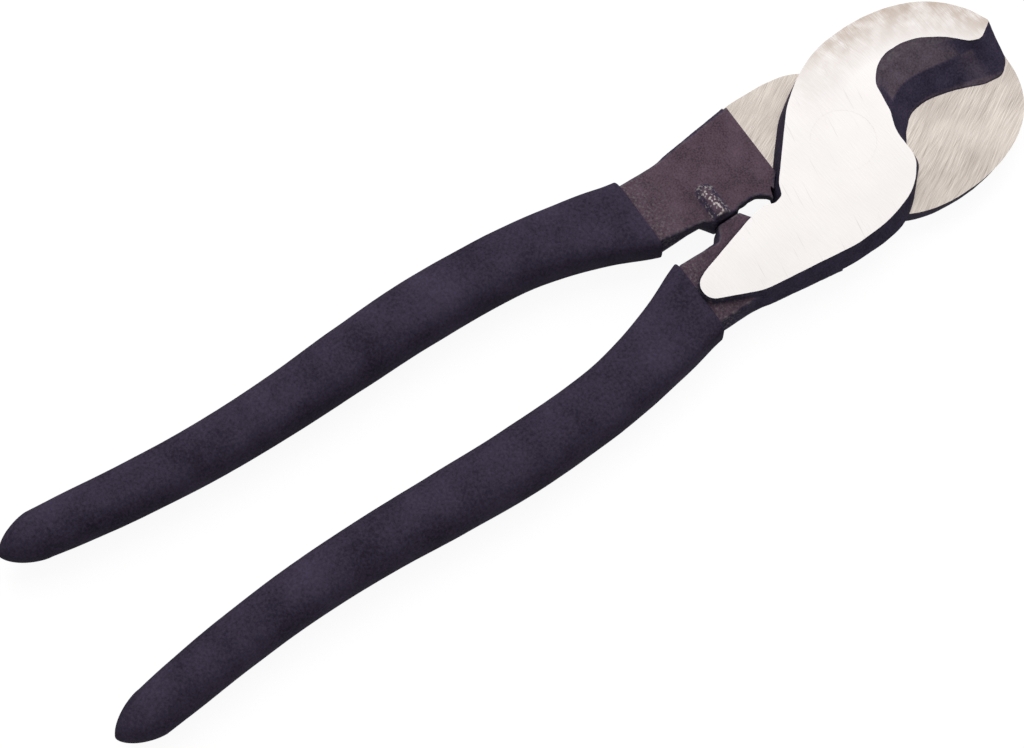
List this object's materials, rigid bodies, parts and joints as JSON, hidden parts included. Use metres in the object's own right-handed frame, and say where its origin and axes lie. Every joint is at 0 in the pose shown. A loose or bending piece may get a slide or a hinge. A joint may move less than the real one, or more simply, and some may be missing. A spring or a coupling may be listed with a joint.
{
  "type": "cable cutter",
  "caption": "One-hand high-leverage cable cutter: identical forged halves lap at a flush pivot rivet, hooked bevelled jaws, ground faces, bowed handles with dark dipped grips.",
  "frame": {"origin": "pivot axis, in the ground face of the rear half", "axes": "+Y from the pivot to the jaw tips along the closed tool, +Z along the pivot axis to the front half's ground face, +X towards the front half's handle"},
  "size_m": [0.0576, 0.2492, 0.014],
  "materials": {
    "forged_steel": "forged and blackened, with bright ground faces",
    "ground_steel": "ground flush with the faces",
    "dipped_vinyl": "matte, fine sandy grain"
  },
  "bodies": {
    "front": {"front_half": "forged_steel", "front_grip": "dipped_vinyl", "pivot_rivet": "ground_steel"},
    "rear": {"rear_half": "forged_steel", "rear_grip": "dipped_vinyl"}
  },
  "joints": [
    {"name": "pivot", "type": "hinge", "parent": "front", "child": "rear", "pos_m": [0, 0, 0.006], "axis": [0, 0, -1], "range_deg": [0, 58]}
  ]
}
